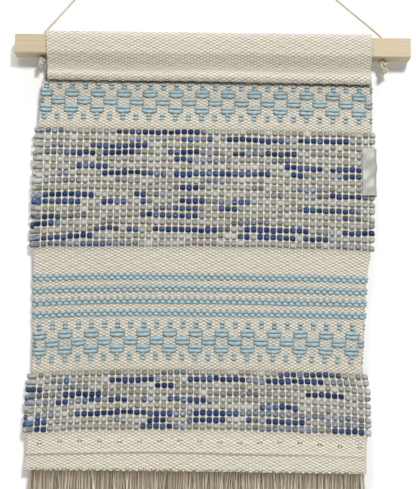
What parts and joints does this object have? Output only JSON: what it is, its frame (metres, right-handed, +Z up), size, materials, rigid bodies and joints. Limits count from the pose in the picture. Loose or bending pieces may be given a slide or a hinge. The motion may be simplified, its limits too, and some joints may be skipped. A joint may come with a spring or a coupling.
{
  "type": "tapestry wall hanging",
  "caption": "Handwoven cotton tapestry with dyed and pale blue bands, sleeved over a square wooden bar and hung by a knotted cord loop, with a long warp fringe.",
  "frame": {"origin": "the inside top of the cord's hanging loop, where a nail or hook carries it", "axes": "+X to the viewer's right along the bar, -Y towards the viewer out of the wall, +Z up"},
  "size_m": [0.4, 0.0254, 0.7156],
  "materials": {
    "bar_wood": "bare sanded pale wood",
    "cord": "twisted cotton cord",
    "cream_cotton": "undyed handwoven cotton",
    "ikat_cotton": "space-dyed blue and grey thick cotton weft",
    "pale_blue_cotton": "pale blue thick cotton weft",
    "label_satin": "soft off-white satin ribbon",
    "sewing_thread": "brown sewing thread",
    "fringe_cotton": "loose cotton warp ends"
  },
  "bodies": {
    "cord": {"hanging_loop": "cord", "hanging_knot": "cord", "cord_leg_left": "cord", "cord_leg_right": "cord"},
    "bar": {"wooden_bar": "bar_wood", "cord_in_hole_left": "cord", "cord_in_hole_right": "cord", "cord_knot_left": "cord", "cord_knot_right": "cord"},
    "sleeve": {"sleeve_top": "cream_cotton", "sleeve_front": "cream_cotton", "sleeve_back": "cream_cotton", "sleeve_front_slope": "cream_cotton", "sleeve_back_slope": "cream_cotton", "flap_hem": "cream_cotton", "flap_thread": "sewing_thread"},
    "upper_panel": {"upper_diamond_band": "cream_cotton", "upper_ikat_pick_01": "ikat_cotton", "upper_ikat_pick_02": "ikat_cotton", "upper_ikat_pick_03": "ikat_cotton", "upper_ikat_pick_04": "ikat_cotton", "upper_ikat_pick_05": "ikat_cotton", "upper_ikat_pick_06": "ikat_cotton", "upper_ikat_pick_07": "ikat_cotton", "upper_ikat_pick_08": "ikat_cotton", "upper_ikat_pick_09": "ikat_cotton", "upper_ikat_pick_10": "ikat_cotton", "upper_ikat_pick_11": "ikat_cotton", "upper_ikat_pick_12": "ikat_cotton", "upper_ikat_pick_13": "ikat_cotton", "upper_ikat_pick_14": "ikat_cotton", "upper_ikat_pick_15": "ikat_cotton", "upper_ikat_pick_16": "ikat_cotton", "upper_ikat_pick_17": "ikat_cotton", "plain_band_above_fold": "cream_cotton", "edge_label": "label_satin"},
    "middle_panel": {"plain_band_below_fold": "cream_cotton", "blue_stripe_1": "pale_blue_cotton", "blue_stripe_2": "pale_blue_cotton", "blue_stripe_3": "pale_blue_cotton", "blue_stripe_4": "pale_blue_cotton", "stripe_spacer_1": "cream_cotton", "stripe_spacer_2": "cream_cotton", "stripe_spacer_3": "cream_cotton", "lower_diamond_band": "cream_cotton"},
    "lower_panel": {"plain_band_lower_fold": "cream_cotton", "lower_ikat_pick_01": "ikat_cotton", "lower_ikat_pick_02": "ikat_cotton", "lower_ikat_pick_03": "ikat_cotton", "lower_ikat_pick_04": "ikat_cotton", "lower_ikat_pick_05": "ikat_cotton", "lower_ikat_pick_06": "ikat_cotton", "lower_ikat_pick_07": "ikat_cotton", "lower_ikat_pick_08": "ikat_cotton", "lower_ikat_pick_09": "ikat_cotton", "plain_band_above_hem": "cream_cotton", "bottom_hem": "cream_cotton", "hem_thread": "sewing_thread"},
    "fringe": {"warp_fringe": "fringe_cotton"}
  },
  "joints": [
    {"name": "bar_rock", "type": "hinge", "parent": "cord", "child": "bar", "pos_m": [0.028, 0, -0.186], "axis": [-1, 0, 0], "range_deg": [0, 15]},
    {"name": "cloth_slide", "type": "slide", "parent": "bar", "child": "sleeve", "axis": [1, 0, 0], "range_m": [0, 0.004]},
    {"name": "panel_swing", "type": "hinge", "parent": "sleeve", "child": "upper_panel", "pos_m": [0.028, 0.0003, -0.2346], "axis": [-1, 0, 0], "range_deg": [0, 55]},
    {"name": "middle_fold", "type": "hinge", "parent": "upper_panel", "child": "middle_panel", "pos_m": [0.028, 0.0003, -0.413], "axis": [-1, 0, 0], "range_deg": [0, 50]},
    {"name": "lower_fold", "type": "hinge", "parent": "middle_panel", "child": "lower_panel", "pos_m": [0.028, 0.0003, -0.5165], "axis": [-1, 0, 0], "range_deg": [0, 50]},
    {"name": "fringe_swing", "type": "hinge", "parent": "lower_panel", "child": "fringe", "pos_m": [0.028, 0.0003, -0.6182], "axis": [-1, 0, 0], "range_deg": [0, 45]}
  ]
}
